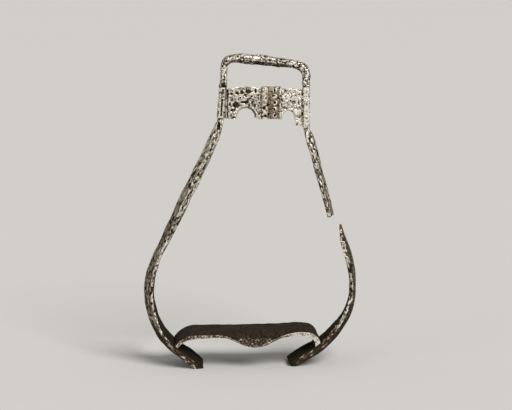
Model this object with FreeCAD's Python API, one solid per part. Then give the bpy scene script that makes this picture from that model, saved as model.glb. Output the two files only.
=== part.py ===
import FreeCAD, Part
import math
import os

# An old forged-iron stirrup, standing on its two feet.
# X runs across the stirrup, -Y is its front, +Z is up, and z = 0 is the floor.
# Its right arm is broken through, so the lower arm is a piece of its own.

Vector = FreeCAD.Vector

# Whole stirrup
overall_height = 173.0
half_width = 59.2
break_height = 83.2
floor_z = 0.0

# Arms, measured from the flat inner face to the outer ridge
left_arm_thickness = 5.6
right_arm_thickness = 4.6
right_arm_lean = 2.4
arm_depth_low = 24.0
arm_depth_high = 5.0
arm_edge_bevel = 0.4

# Wedge-shaped notch in the front of the left leg of the loop
notch_width = 3.0
notch_height = 5.6
notch_depth = 0.8

# Strap loop
loop_bar_thickness = 5.6
loop_bar_depth = 6.0
slot_left_corner_radius = 3.2
slot_right_corner_radius = 4.6

# Shanks that pass through the sleeves of the cover
left_shank_width = 2.9
right_shank_width = 2.9
shank_depth = 4.4
shank_chamfer = 0.6
shank_overlap = 2.0

# Cover sheets and the moulding that clasps them
sheet_thickness = 0.85
sleeve_wall = 0.6
sleeve_clearance = 0.12
left_sleeve_length = 16.6
right_sleeve_length = 22.0
sleeve_seam_width = 0.5
cover_height = 17.5
cover_setback = 0.75
gutter_radius = 0.5
front_slit_width = 1.0
band_thickness = 0.8
band_seat = 0.05
ridge_rise = 0.7
thin_ridge_rise = 0.4
bead_count = 5
bead_side_count = 12
bead_rise = 0.9

# Tread
tread_thickness = 2.2
tread_depth = 24.0
lobe_drop = 8.1
lobe_reach = 1.6
least_drop = 0.3

# Loss at the break: how far the inner side of the stub reaches below its outer side
break_slope = 2.2

# Overrun of every cutting body
overrun = 30.0

# Inner front edge of the left arm and foot, from the sleeve down to the tip:
# x of half_width, z of overall_height, thickness of left_arm_thickness,
# depth between arm_depth_high and arm_depth_low, facet of thickness, ridge of depth,
# lean of right_arm_lean. The shank gives the section above the first row.
left_arm_shares = (
    (-0.257, 0.774, 0.84, 0.03, 0.74, 0.40, 0.0),
    (-0.302, 0.727, 0.94, 0.10, 0.68, 0.32, 0.0),
    (-0.402, 0.648, 1.05, 0.20, 0.62, 0.24, 0.0),
    (-0.535, 0.556, 1.10, 0.31, 0.56, 0.20, 0.0),
    (-0.688, 0.453, 0.96, 0.42, 0.54, 0.16, 0.0),
    (-0.828, 0.362, 0.84, 0.48, 0.38, 0.14, 0.0),
    (-0.903, 0.270, 0.98, 0.50, 0.31, 0.12, 0.0),
    (-0.885, 0.180, 0.95, 0.50, 0.31, 0.15, 0.0),
    (-0.786, 0.101, 0.88, 0.80, 0.45, 0.30, 0.0),
    (-0.620, 0.051, 0.82, 0.93, 0.74, 0.56, 0.0),
    (-0.422, -0.008, 0.48, 0.70, 0.86, 0.80, 0.0),
)

# Inner front edge of the broken upper stub of the right arm, downwards
right_stub_shares = (
    (0.508, 0.738, 0.98, 0.06, 0.66, 0.40, 0.0),
    (0.546, 0.690, 0.99, 0.13, 0.64, 0.30, 0.1),
    (0.601, 0.620, 0.93, 0.21, 0.68, 0.25, 0.2),
    (0.660, 0.552, 0.88, 0.27, 0.58, 0.22, 0.3),
    (0.724, 0.468, 0.90, 0.32, 0.50, 0.20, 0.3),
)

# Inner front edge of the broken-off right arm and foot, from its spike down to the tip
right_lower_arm_shares = (
    (0.833, 0.457, 0.20, 0.06, 0.60, 0.40, 0.2),
    (0.825, 0.434, 0.50, 0.21, 0.66, 0.26, 0.4),
    (0.832, 0.405, 0.70, 0.36, 0.70, 0.20, 0.7),
    (0.878, 0.350, 0.76, 0.47, 0.60, 0.16, 1.0),
    (0.912, 0.281, 0.79, 0.54, 0.58, 0.14, 1.0),
    (0.889, 0.197, 0.94, 0.55, 0.54, 0.15, 1.0),
    (0.772, 0.129, 1.22, 0.58, 0.50, 0.26, 0.9),
    (0.640, 0.078, 1.18, 0.74, 0.62, 0.45, 0.5),
    (0.500, 0.046, 1.12, 0.76, 0.74, 0.62, 0.2),
    (0.348, 0.011, 0.84, 0.52, 0.86, 0.80, 0.0),
)

# Corners of the strap slot, and the bar round it, whose shares are of the loop bar:
# thickness, facet, ridge and bevel of the inner edge
slot_corner_shares = (
    (-0.213, 0.8965),
    (-0.213, 0.9745),
    (0.470, 0.9515),
    (0.480, 0.8965),
)
loop_bar_shares = (
    (0.86, 0.78, 0.50, 0.14),
    (0.72, 0.78, 0.50, 0.14),
    (0.68, 0.78, 0.50, 0.16),
    (0.78, 0.76, 0.50, 0.20),
    (0.88, 0.76, 0.46, 0.32),
    (0.98, 0.76, 0.42, 0.38),
    (1.04, 0.76, 0.42, 0.40),
    (0.92, 0.76, 0.44, 0.38),
    (0.84, 0.76, 0.46, 0.30),
    (0.94, 0.74, 0.50, 0.20),
    (0.84, 0.78, 0.50, 0.14),
    (0.80, 0.78, 0.50, 0.12),
    (0.80, 0.78, 0.50, 0.12),
)
bar_station_shares = (0.25, 0.5, 0.75)
leg_station_share = 0.5

# Axes of the two shanks at their upper and lower ends
left_axis_shares = ((-0.254, 0.896), (-0.278, 0.790))
right_axis_shares = ((0.514, 0.896), (0.515, 0.760))

# Edge of each cover sheet, of the span between the sleeves and of cover_height.
# Each entry has the point that an arc passes through, or None, and the next corner.
cover_front_shares = (
    (None, (0.000, 0.920)),
    (None, (0.090, 0.945)),
    ((0.262, 1.045), (0.456, 0.940)),
    (None, (0.740, 0.930)),
    ((0.830, 0.960), (0.930, 0.890)),
    (None, (1.000, 0.890)),
    (None, (1.000, -0.200)),
    (None, (0.868, -0.200)),
    (None, (0.868, 0.070)),
    ((0.792, 0.300), (0.716, 0.080)),
    (None, (0.712, -0.065)),
    (None, (0.660, 0.010)),
    (None, (0.418, 0.010)),
    (None, (0.408, 0.070)),
    ((0.290, 0.400), (0.170, 0.080)),
    (None, (0.166, -0.015)),
    (None, (0.080, 0.060)),
    (None, (0.000, 0.040)),
)
cover_back_shares = (
    (None, (0.000, 0.900)),
    ((0.240, 1.000), (0.463, 0.940)),
    (None, (0.720, 0.940)),
    ((0.830, 0.950), (1.000, 0.880)),
    (None, (1.000, -0.080)),
    (None, (0.872, -0.080)),
    (None, (0.858, 0.080)),
    ((0.790, 0.250), (0.728, 0.080)),
    (None, (0.722, 0.020)),
    (None, (0.382, 0.030)),
    ((0.285, 0.330), (0.180, 0.060)),
    (None, (0.172, 0.010)),
    (None, (0.000, 0.020)),
)

# Moulding across the cover: its edges and its ridges, of the span between the sleeves
band_edge_shares = (0.464, 0.703)
plain_ridge_shares = (0.469, 0.545)
beaded_ridge_shares = (0.590, 0.656)
thin_ridge_shares = (0.674, 0.700)
band_foot_share = 0.020
band_top_share = 1.010
band_roof_share = 0.960

# Half profile of a bead: of its radius and its rise
bead_profile_shares = (
    (1.00, 0.00),
    (0.80, 0.60),
    (0.42, 1.00),
)

# Open slit down the front of the left sleeve, from the top of its length
front_slit_shares = (0.36, 0.94)

# Tread along its path, left to right: x of half_width, z of overall_height,
# drop of the lobe, thickness, depth
tread_shares = (
    (-0.752, 0.060, 0.00, 1.10, 0.94),
    (-0.700, 0.089, 0.00, 1.20, 0.97),
    (-0.615, 0.1100, 0.00, 1.25, 1.00),
    (-0.430, 0.1162, 0.04, 1.15, 1.00),
    (-0.240, 0.1190, 0.22, 0.95, 1.00),
    (-0.110, 0.1198, 0.70, 0.90, 1.00),
    (0.000, 0.1206, 0.98, 0.91, 1.00),
    (0.090, 0.1213, 0.97, 0.94, 1.00),
    (0.180, 0.1219, 0.70, 0.98, 1.00),
    (0.260, 0.1221, 0.40, 1.07, 1.00),
    (0.350, 0.1220, 0.16, 1.17, 1.00),
    (0.500, 0.1212, 0.03, 1.30, 0.99),
    (0.598, 0.111, 0.00, 1.40, 0.97),
    (0.645, 0.088, 0.00, 1.40, 0.95),
    (0.642, 0.058, 0.00, 1.40, 0.93),
)
# Its top is worn to one plane between these two ends, which rises to the right
worn_end_shares = ((-0.400, 0.1165), (0.330, 0.1217))
# Across the tread: place of half its depth, and how much of the drop is reached there,
# at the edge, half way down the curl and where the flat middle begins
tread_profile_shares = (
    (1.00, 1.00),
    (0.89, 0.36),
    (0.70, 0.00),
)
# Body that trims the tread at an arm's inner face, of the arm's own thickness and depth
trim_thickness_share = 2.5
trim_depth_share = 1.7


def at(share_x, share_z):
    """A point of the middle plane, from shares of the whole stirrup."""
    return Vector(half_width * share_x, 0, overall_height * share_z)


def between(low, high, share):
    return low + (high - low) * share


def polygon(points):
    return Part.makePolygon(points + points[:1])


def path_lengths(points):
    """Distance run at each point of a path."""
    lengths = [0.0]
    for before, after in zip(points, points[1:]):
        lengths.append(lengths[-1] + (after - before).Length)
    return lengths


def smooth_line(points, places):
    """Smooth line that reaches each point at its place."""
    line = Part.BSplineCurve()
    line.interpolate(Points=points, Parameters=places)
    return line


def outward_at(line, place, side):
    """Direction square to the line, to its left or right side."""
    run = line.tangent(place)[0]
    return Vector(-side * run.z, 0, side * run.x)


def outward_normals(points, side):
    places = path_lengths(points)
    line = smooth_line(points, places)
    return [outward_at(line, place, side) for place in places]


def bar_section(point, outward, thickness, depth, facet, ridge, bevel, middle=0, slope=0):
    """Closed section of a forged bar: flat inner face, bevels, outer ridge.

    A leaning bar stands out by middle half way back, and by slope more for each step back.
    """
    corners = (
        (0, -depth / 2 + bevel),
        (bevel, -depth / 2),
        (facet, -depth / 2),
        (thickness, -ridge / 2),
        (thickness, ridge / 2),
        (facet, depth / 2),
        (bevel, depth / 2),
        (0, depth / 2 - bevel),
    )
    ring = []
    for across, along in corners:
        shift = across + middle + slope * along
        ring.append(point + outward * shift + Vector(0, along, 0))
    return ring


def ruled_strip(rail, next_rail):
    """Surface of straight lines from one smooth line to the next."""
    surface = Part.BSplineSurface()
    poles = [rail.getPoles(), next_rail.getPoles()]
    surface.buildFromPolesMultsKnots(
        poles, (2, 2), rail.getMultiplicities(), (0, 1), rail.getKnots(),
        False, False, 1, rail.Degree)
    return surface.toShape()


def smooth_body(rings):
    """Body through sections of as many corners, with a smooth line through each corner."""
    corner_count = len(rings[0])
    centres = [sum(ring, Vector()) / corner_count for ring in rings]
    places = path_lengths(centres)
    rails = [smooth_line(list(corners), places) for corners in zip(*rings)]
    faces = [Part.Face(polygon(rings[0])), Part.Face(polygon(rings[-1]))]
    for rail, next_rail in zip(rails, rails[1:] + rails[:1]):
        faces.append(ruled_strip(rail, next_rail))
    shell = Part.makeShell(faces)
    shell.sewShape()
    body = Part.makeSolid(shell)
    if body.Volume < 0:
        body.reverse()
    return body


def axis_point(axis_shares, z):
    """Point of a shank's axis at a height."""
    top, foot = [at(*share) for share in axis_shares]
    return between(foot, top, (z - foot.z) / (top.z - foot.z))


def slot_foot_z():
    return at(*slot_corner_shares[0]).z


def sleeve_top_z():
    return slot_foot_z() - sleeve_clearance


def shank_section(axis_shares, width, z, side):
    """Section of a shank at a height, with its inner point."""
    top, foot = [at(*share) for share in axis_shares]
    down = (foot - top).normalize()
    outward = Vector(-side * down.z, 0, side * down.x)
    point = axis_point(axis_shares, z) - outward * (width / 2)
    ring = bar_section(
        point, outward, width, shank_depth, width - shank_chamfer,
        shank_depth - 2 * shank_chamfer, shank_chamfer)
    return point, ring


def shank_foot_z(sleeve_length):
    return sleeve_top_z() - sleeve_length - sleeve_clearance


def shank(axis_shares, width, sleeve_length, side):
    """Straight shank from the top of its arm up into the leg of the loop."""
    ends = (shank_foot_z(sleeve_length), slot_foot_z() + shank_overlap)
    outlines = [polygon(shank_section(axis_shares, width, z, side)[1]) for z in ends]
    return Part.makeLoft(outlines, True, True)


def arm_sections(shares, full_thickness, side, start_point=None, gain=(1, 1)):
    """Sections down one arm; gain makes its thickness and depth larger for a cutting body."""
    points = [at(row[0], row[1]) for row in shares]
    path = [start_point] + points if start_point else points
    normals = outward_normals(path, side)[-len(points):]
    sections = []
    for row, point, outward in zip(shares, points, normals):
        thickness = full_thickness * row[2] * gain[0]
        own_depth = between(arm_depth_high, arm_depth_low, row[3])
        depth = own_depth * gain[1]
        lean = right_arm_lean * row[6]
        sections.append(bar_section(
            point, outward, thickness, depth, thickness * row[4], depth * row[5],
            arm_edge_bevel * row[2], lean / 2, lean / own_depth))
    return sections


def arm_from_shank(shares, full_thickness, side, foot):
    """Arm that grows out of the foot of its shank."""
    point, ring = foot
    return smooth_body([ring] + arm_sections(shares, full_thickness, side, point))


def below_floor():
    """Body that trims the feet level with the floor."""
    reach = half_width + overrun
    return Part.makeBox(2 * reach, 2 * reach, overrun, Vector(-reach, -reach, floor_z - overrun))


def path_outward(start, end):
    run = (end - start).normalize()
    return Vector(-run.z, 0, run.x)


def slot_turn(before, tip, after, radius):
    """Start, middle and end of the rounded corner at a tip, each with its outward direction."""
    to_before = (before - tip).normalize()
    to_after = (after - tip).normalize()
    half_turn = to_before.getAngle(to_after) / 2
    inward = (to_before + to_after).normalize()
    centre = tip + inward * (radius / math.sin(half_turn))
    trim = radius / math.tan(half_turn)
    return [
        (tip + to_before * trim, path_outward(before, tip)),
        (centre - inward * radius, inward * -1),
        (tip + to_after * trim, path_outward(tip, after)),
    ]


def slot_stations():
    """Stations round the strap slot: point and outward direction, left foot to right foot."""
    low_left, high_left, high_right, low_right = [at(*share) for share in slot_corner_shares]
    left_turn = slot_turn(low_left, high_left, high_right, slot_left_corner_radius)
    right_turn = slot_turn(high_left, high_right, low_right, slot_right_corner_radius)
    leg_out, bar_out, far_out = left_turn[0][1], left_turn[2][1], right_turn[2][1]
    stations = [(low_left, leg_out)]
    stations.append((between(low_left, left_turn[0][0], leg_station_share), leg_out))
    stations += left_turn
    for share in bar_station_shares:
        stations.append((between(left_turn[2][0], right_turn[0][0], share), bar_out))
    stations += right_turn
    stations.append((between(right_turn[2][0], low_right, leg_station_share), far_out))
    stations.append((low_right, far_out))
    return stations


def strap_loop():
    """Bar round the strap slot, with a wedge-shaped notch low on its left leg."""
    rings = []
    for (point, outward), (thick, facet, ridge, bevel) in zip(slot_stations(), loop_bar_shares):
        thickness = loop_bar_thickness * thick
        rings.append(bar_section(
            point, outward, thickness, loop_bar_depth, thickness * facet,
            loop_bar_depth * ridge, loop_bar_thickness * bevel))
    return smooth_body(rings).cut(leg_notch())


def leg_notch():
    foot = at(*slot_corner_shares[0])
    middle = foot.x - loop_bar_thickness * loop_bar_shares[0][0] / 2
    y = -loop_bar_depth / 2 + notch_depth
    face = Part.Face(polygon([
        Vector(middle - notch_width / 2, y, foot.z),
        Vector(middle + notch_width / 2, y, foot.z),
        Vector(middle, y, foot.z + notch_height),
    ]))
    return face.extrude(Vector(0, -overrun, 0))


def break_cutter():
    """Body that ends the stub at the break, a little lower on its inner side."""
    inner_x = half_width * right_stub_shares[-1][0]
    rise = break_slope / right_arm_thickness * overrun
    top_left = Vector(inner_x - overrun, -overrun, break_height - rise)
    top_right = Vector(inner_x + overrun, -overrun, break_height + rise)
    down = Vector(0, 0, -break_height)
    face = Part.Face(polygon([top_left, top_right, top_right + down, top_left + down]))
    return face.extrude(Vector(0, 2 * overrun, 0))


def left_shank_foot():
    return shank_section(
        left_axis_shares, left_shank_width, shank_foot_z(left_sleeve_length), -1)


def right_shank_foot():
    return shank_section(
        right_axis_shares, right_shank_width, shank_foot_z(right_sleeve_length), 1)


def bow():
    """Loop, shanks, left arm with its foot, and the stub of the right arm: one forging."""
    left = arm_from_shank(left_arm_shares, left_arm_thickness, -1, left_shank_foot())
    stub = arm_from_shank(right_stub_shares, right_arm_thickness, 1, right_shank_foot())
    return strap_loop().multiFuse([
        shank(left_axis_shares, left_shank_width, left_sleeve_length, -1),
        shank(right_axis_shares, right_shank_width, right_sleeve_length, 1),
        left.cut(below_floor()),
        stub.cut(break_cutter()),
    ])


def right_arm_lower():
    """The right arm below the break, with its foot."""
    rings = arm_sections(right_lower_arm_shares, right_arm_thickness, 1)
    return smooth_body(rings).cut(below_floor())


def tread_trims():
    """Bodies that end the tread at the inner faces of the two arms, wider than the arms."""
    gain = (trim_thickness_share, trim_depth_share)
    left = arm_sections(left_arm_shares, left_arm_thickness, -1, left_shank_foot()[0], gain)
    right = arm_sections(right_lower_arm_shares, right_arm_thickness, 1, None, gain)
    return [smooth_body(left), smooth_body(right)]


def tread_section(point, upward, drop, thickness, depth):
    """Section across the tread: a sheet whose front and back edges curl down."""
    top = []
    for place, reach in tread_profile_shares:
        along = place * depth / 2 + lobe_reach * drop / lobe_drop * reach
        top.append((along, -drop * reach))
    under = []
    for index, (along, height) in enumerate(top):
        before, after = top[max(index - 1, 0)], top[min(index + 1, len(top) - 1)]
        slope = math.atan2(after[1] - before[1], before[0] - after[0])
        if index == len(top) - 1:
            slope = 0
        under.append((along - thickness * math.sin(slope), height - thickness * math.cos(slope)))
    ring = [(-along, height) for along, height in top]
    ring += top[::-1] + under
    ring += [(-along, height) for along, height in under[::-1]]
    return [point + upward * height + Vector(0, along, 0) for along, height in ring]


def tread_plate():
    """The tread, bridging the arms and welded to their inner faces."""
    points = [at(row[0], row[1]) for row in tread_shares]
    rings = []
    for row, point, upward in zip(tread_shares, points, outward_normals(points, 1)):
        drop = max(lobe_drop * row[2], least_drop)
        rings.append(tread_section(
            point, upward, drop, tread_thickness * row[3], tread_depth * row[4]))
    return largest_solid(smooth_body(rings).cut(tread_trims() + [worn_cutter()]))


def worn_cutter():
    """Body over the flat of the tread, on which the boot rests."""
    left, right = [at(*share) - Vector(0, overrun, 0) for share in worn_end_shares]
    up = Vector(0, 0, overrun)
    face = Part.Face(polygon([left, right, right + up, left + up]))
    return face.extrude(Vector(0, 2 * overrun, 0))


def largest_solid(shape):
    return max(shape.Solids, key=lambda solid: solid.Volume)


def cover_point(share, y):
    """A point of the cover, from shares of the span between the sleeves and its height."""
    foot = sleeve_top_z() - cover_height
    middle = foot + cover_height / 2
    left = axis_point(left_axis_shares, middle).x
    right = axis_point(right_axis_shares, middle).x
    return Vector(between(left, right, share[0]), y, foot + cover_height * share[1])


def cover_sheet(edge_shares, y_front):
    """Flat sheet cut to its outline."""
    corners = [cover_point(entry[1], y_front) for entry in edge_shares]
    edges = []
    for index, (through, _) in enumerate(edge_shares):
        start, end = corners[index - 1], corners[index]
        if through is None:
            edges.append(Part.LineSegment(start, end).toShape())
        else:
            edges.append(Part.Arc(start, cover_point(through, y_front), end).toShape())
    return Part.Face(Part.Wire(edges)).extrude(Vector(0, sheet_thickness, 0))


def front_sheet_y():
    """Front face of the front sheet, set back from the fronts of the sleeves."""
    return -shank_depth / 2 - sleeve_clearance - sleeve_wall + cover_setback


def back_sheet_y():
    """Front face of the back sheet, which lies as far behind the middle plane."""
    return -front_sheet_y() - sheet_thickness


def chamfered_outline(centre, width, depth, chamfer):
    """Level rectangle with its corners taken off."""
    half_x, half_y = width / 2, depth / 2
    ring = []
    for sign_x, sign_y in ((-1, -1), (1, -1), (1, 1), (-1, 1)):
        beside = centre + Vector(sign_x * half_x, sign_y * (half_y - chamfer), 0)
        facing = centre + Vector(sign_x * (half_x - chamfer), sign_y * half_y, 0)
        ring += [beside, facing] if sign_x * sign_y > 0 else [facing, beside]
    return polygon(ring)


def along_axis(axis_shares, z_low, z_high, outline):
    """Straight body that follows a shank's leaning axis between two heights."""
    run = axis_point(axis_shares, z_high) - axis_point(axis_shares, z_low)
    return Part.Face(outline).extrude(run)


def level_rectangle(left, right, front, back, z):
    return polygon([
        Vector(left, front, z), Vector(right, front, z),
        Vector(right, back, z), Vector(left, back, z),
    ])


def sleeve_body(axis_shares, z_low, z_high, shank_width, wall):
    """Body with bent corners round a shank, clear of it by the clearance and a wall."""
    offset = sleeve_clearance + wall
    outline = chamfered_outline(
        axis_point(axis_shares, z_low), shank_width + 2 * offset, shank_depth + 2 * offset,
        shank_chamfer + offset * (2 - math.sqrt(2)))
    return along_axis(axis_shares, z_low, z_high, outline)


def upright_slit(axis_shares, width, z_low, z_high, facing):
    """Slit through one wall of a sleeve; facing is -1 at the front and 1 at the back."""
    axis = axis_point(axis_shares, z_low)
    near = facing * shank_depth / 2
    far = near + facing * (sleeve_clearance + sleeve_wall + overrun)
    outline = level_rectangle(
        axis.x - width / 2, axis.x + width / 2, min(near, far), max(near, far), z_low)
    return along_axis(axis_shares, z_low, z_high, outline)


def gutter(axis_shares, shank_width, side):
    """Round groove where the sheet turns into its sleeve."""
    offset = side * (shank_width / 2 + sleeve_clearance + sleeve_wall + gutter_radius / 2)
    shift = Vector(offset, front_sheet_y(), 0)
    start = axis_point(axis_shares, sleeve_top_z() - cover_height - overrun) + shift
    end = axis_point(axis_shares, sleeve_top_z() + overrun) + shift
    return Part.makeCylinder(gutter_radius, (end - start).Length, start, end - start)


def front_cover_plate():
    """Front sheet of the cover, rolled round both shanks in two sleeves."""
    top = sleeve_top_z()
    sleeves = (
        (left_axis_shares, left_shank_width, left_sleeve_length, 1),
        (right_axis_shares, right_shank_width, right_sleeve_length, -1),
    )
    outers, cutters = [], []
    for axis_shares, width, length, side in sleeves:
        low = top - length
        outers.append(sleeve_body(axis_shares, low, top, width, sleeve_wall))
        cutters.append(sleeve_body(axis_shares, low - overrun, top + overrun, width, 0))
        cutters.append(upright_slit(
            axis_shares, sleeve_seam_width, low - overrun, top + overrun, 1))
        cutters.append(gutter(axis_shares, width, side))
    slit_low = top - left_sleeve_length * front_slit_shares[1]
    slit_high = top - left_sleeve_length * front_slit_shares[0]
    cutters.append(upright_slit(left_axis_shares, front_slit_width, slit_low, slit_high, -1))
    body = cover_sheet(cover_front_shares, front_sheet_y()).multiFuse(outers)
    return body.cut(cutters)


def back_cover_plate():
    """Back sheet of the cover, set between the two sleeves."""
    sheet = cover_sheet(cover_back_shares, back_sheet_y())
    low, high = sleeve_top_z() - cover_height - overrun, sleeve_top_z() + overrun
    return largest_solid(sheet.cut([
        sleeve_body(left_axis_shares, low, high, left_shank_width, sleeve_wall),
        sleeve_body(right_axis_shares, low, high, right_shank_width, sleeve_wall),
    ]))


def band_box(y_front, y_back, top_share, past=0):
    """Box as wide as the moulding; a cutting body reaches past its sides and foot."""
    low = cover_point((band_edge_shares[0], band_foot_share), y_front) - Vector(past, 0, past)
    high = cover_point((band_edge_shares[1], top_share), y_back) + Vector(past, 0, 0)
    return Part.makeBox(high.x - low.x, high.y - low.y, high.z - low.z, low)


def band_ridge(edges, rise, y_seat):
    """Upright ridge with a rounded front."""
    low = cover_point((edges[0], band_foot_share), y_seat)
    high = cover_point((edges[1], band_top_share), y_seat)
    middle = Vector((low.x + high.x) / 2, y_seat - rise, low.z)
    foot_right = Vector(high.x, y_seat, low.z)
    face = Part.Face(Part.Wire([
        Part.Arc(low, middle, foot_right).toShape(),
        Part.LineSegment(foot_right, low).toShape(),
    ]))
    return face.extrude(Vector(0, 0, high.z - low.z))


def bead(centre, radius):
    """Low faceted dome, its flat foot on the moulding."""
    outlines = []
    for reach, rise in bead_profile_shares:
        ring = []
        for side in range(bead_side_count):
            turn = 2 * math.pi * side / bead_side_count
            ring.append(centre + Vector(
                radius * reach * math.cos(turn), -bead_rise * rise, radius * reach * math.sin(turn)))
        outlines.append(polygon(ring))
    return Part.makeLoft(outlines, True, True)


def band_beads(y_seat):
    """Row of beads up the moulding."""
    low = cover_point((beaded_ridge_shares[0], band_foot_share), y_seat)
    high = cover_point((beaded_ridge_shares[1], band_top_share), y_seat)
    pitch = (high.z - low.z) / bead_count
    radius = (high.x - low.x) / 2
    bodies = []
    for index in range(bead_count):
        height = low.z + pitch * index + pitch / 2
        bodies.append(bead(Vector(low.x + radius, y_seat, height), radius))
    return bodies


def centre_band():
    """Ribbed and beaded strip that clasps both cover sheets over their top edge."""
    front_face = front_sheet_y() - band_seat
    back_face = -front_face
    outer_front = front_face - band_thickness
    outer_back = back_face + band_thickness
    strap = band_box(outer_front, outer_back, band_top_share)
    inside = band_box(front_face, back_face, band_roof_share, overrun)
    ridges = [
        band_ridge(plain_ridge_shares, ridge_rise, outer_front),
        band_ridge(thin_ridge_shares, thin_ridge_rise, outer_front),
    ]
    return strap.multiFuse(ridges + band_beads(outer_front)).cut(inside)


def main():
    os.makedirs("parts", exist_ok=True)
    nodes = {
        "bow": bow(),
        "right_arm_lower": right_arm_lower(),
        "tread_plate": tread_plate(),
        "front_cover_plate": front_cover_plate(),
        "back_cover_plate": back_cover_plate(),
        "centre_band": centre_band(),
    }
    for name, shape in nodes.items():
        shape.exportStep("parts/" + name + ".step")
        print(name, len(shape.Solids), "solid,", round(shape.Volume), "mm3, valid", shape.isValid())


main()
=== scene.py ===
import math

import bpy
import numpy as np
from bpy.props import FloatProperty, FloatVectorProperty, IntProperty, PointerProperty
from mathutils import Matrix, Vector, noise
from mathutils.bvhtree import BVHTree


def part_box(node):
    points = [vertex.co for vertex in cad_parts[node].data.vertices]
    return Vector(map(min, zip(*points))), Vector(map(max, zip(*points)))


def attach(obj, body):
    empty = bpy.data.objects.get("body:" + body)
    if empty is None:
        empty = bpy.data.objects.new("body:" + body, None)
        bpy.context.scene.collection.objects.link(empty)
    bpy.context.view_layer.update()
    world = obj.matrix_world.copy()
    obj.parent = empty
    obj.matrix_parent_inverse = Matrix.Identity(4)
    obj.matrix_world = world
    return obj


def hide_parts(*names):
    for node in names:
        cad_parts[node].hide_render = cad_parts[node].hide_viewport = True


bl_info = {
    "name": "Forged-Iron Stirrup",
    "version": (1, 0, 0),
    "blender": (4, 5, 0),
    "location": "3D View > Sidebar > Stirrup",
    "description": "Gives an old iron stirrup its corroded and cleaned surface",
    "category": "Object",
}

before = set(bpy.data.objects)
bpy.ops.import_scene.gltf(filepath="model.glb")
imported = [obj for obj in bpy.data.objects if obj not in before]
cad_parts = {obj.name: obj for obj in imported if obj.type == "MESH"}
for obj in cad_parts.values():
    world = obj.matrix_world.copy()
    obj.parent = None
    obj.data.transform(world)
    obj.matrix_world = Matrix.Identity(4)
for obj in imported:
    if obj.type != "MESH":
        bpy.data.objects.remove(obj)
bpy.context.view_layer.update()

# X runs across the stirrup, -Y is its front, +Z is up, and z = 0 is the floor.
MM = 0.001
BODY = "root"

# Attributes that the skins carry for their materials: how far the surface stands out of its
# surroundings, from -1 in a crevice with painted shade to 1 on an edge with a painted highlight,
# how deep it lies in a pit, how near it is to another piece, for painted shade between the
# pieces, its place along the fibres of the iron, and where the tread is hatched.
RELIEF = "relief"
SUNK = "sunk"
JOINT_SHADE = "joint_shade"
FIBRE = "fibre"
HATCHED = "hatched"


# Sizes and colours that a user would change


def length(name, description, default):
    return FloatProperty(
        name=name, description=description, default=default, min=0.0,
        unit="LENGTH", subtype="DISTANCE", precision=5)


def colour(name, description, default):
    return FloatVectorProperty(
        name=name, description=description, default=default, min=0.0, max=1.0,
        size=3, subtype="COLOR")


def share(name, description, default):
    return FloatProperty(
        name=name, description=description, default=default, min=0.0, max=1.0,
        subtype="FACTOR")


def power(name, description, default):
    return FloatProperty(name=name, description=description, default=default, min=0.0)


def skin_mesh(default):
    return length("Mesh Size", "Side of the squares of the skin", default)


def rounding(default):
    return IntProperty(
        name="Softness", description="Steps by which the edges are rounded",
        default=default, min=0)


def pit_width(default):
    return length("Pit Size", "Width of a corrosion pit", default)


def pit_drop(default):
    return length("Pit Depth", "Depth of the corrosion pits", default)


def pit_cover(default):
    return share("Pit Share", "How much of the surface is pitted", default)


def wave_height(default):
    return length("Waviness", "Height of the uneven hammered surface", default)


def grain_rise(default):
    return length("Grain Height", "Height of the fine grain", default)


# Reach of the painted shade that darkens a piece near the pieces it touches
def joint_shade_reach(default):
    return length("Shade Reach", "How far painted shade reaches out of a joint", default)


def plain_tone(default):
    return share("Brightness", "Tone of the plain surface, from black to bright", default)


def tone_spread(default):
    return power("Contrast", "How far light and dark grain differ", default)


class IronLook:
    """Sizes and colours that every iron piece has; each piece has its own values."""

    mesh_size: skin_mesh(0.35 * MM)
    softness: rounding(6)
    pit_size: pit_width(1.25 * MM)
    pit_depth: pit_drop(0.24 * MM)
    pit_share: pit_cover(0.33)
    waviness: wave_height(0.50 * MM)
    grain_height: grain_rise(0.12 * MM)
    # Painted shade reaches this far next to the touching pieces
    shade_reach: joint_shade_reach(0.8 * MM)
    brightness: plain_tone(0.50)
    contrast: tone_spread(1.15)
    bright: colour("Bright Metal", "Burnished metal on the high spots", (1.00, 0.95, 0.85))
    middle: colour("Grey Metal", "Dull cleaned metal", (0.27, 0.23, 0.175))
    patina: colour("Patina", "Olive-brown skin of old iron", (0.080, 0.063, 0.041))
    hollow: colour("Pit Colour", "Black-brown ground of the pits", (0.018, 0.013, 0.008))
    rust: colour("Rust", "Red-brown rust that is left", (0.15, 0.080, 0.045))


class BowLook(IronLook, bpy.types.PropertyGroup):
    """Loop, left arm and stub of the right arm."""


class LowerArmLook(IronLook, bpy.types.PropertyGroup):
    """Broken-off lower part of the right arm."""

    mesh_size: skin_mesh(0.26 * MM)
    softness: rounding(5)
    waviness: wave_height(0.40 * MM)
    brightness: plain_tone(0.37)


class TreadLook(IronLook, bpy.types.PropertyGroup):
    """Tread, smooth and dark, with a painted highlight on its rim."""

    mesh_size: skin_mesh(0.28 * MM)
    softness: rounding(8)
    pit_depth: pit_drop(0.05 * MM)
    pit_share: pit_cover(0.22)
    waviness: wave_height(0.25 * MM)
    grain_height: grain_rise(0.03 * MM)
    brightness: plain_tone(0.07)
    contrast: tone_spread(0.10)
    hatch_pitch: length("Hatch Pitch", "Distance between the hatched lines", 2.3 * MM)
    hatch_depth: length("Hatch Depth", "Depth of the hatched lines", 0.35 * MM)


class CoverLook(IronLook, bpy.types.PropertyGroup):
    """Both sheets of the cover under the loop."""

    mesh_size: skin_mesh(0.19 * MM)
    softness: rounding(2)
    pit_size: pit_width(1.5 * MM)
    pit_depth: pit_drop(0.16 * MM)
    pit_share: pit_cover(0.18)
    waviness: wave_height(0.12 * MM)
    # Painted shade reaches this far next to the band
    shade_reach: joint_shade_reach(0.35 * MM)
    brightness: plain_tone(0.58)
    contrast: tone_spread(0.95)


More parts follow.
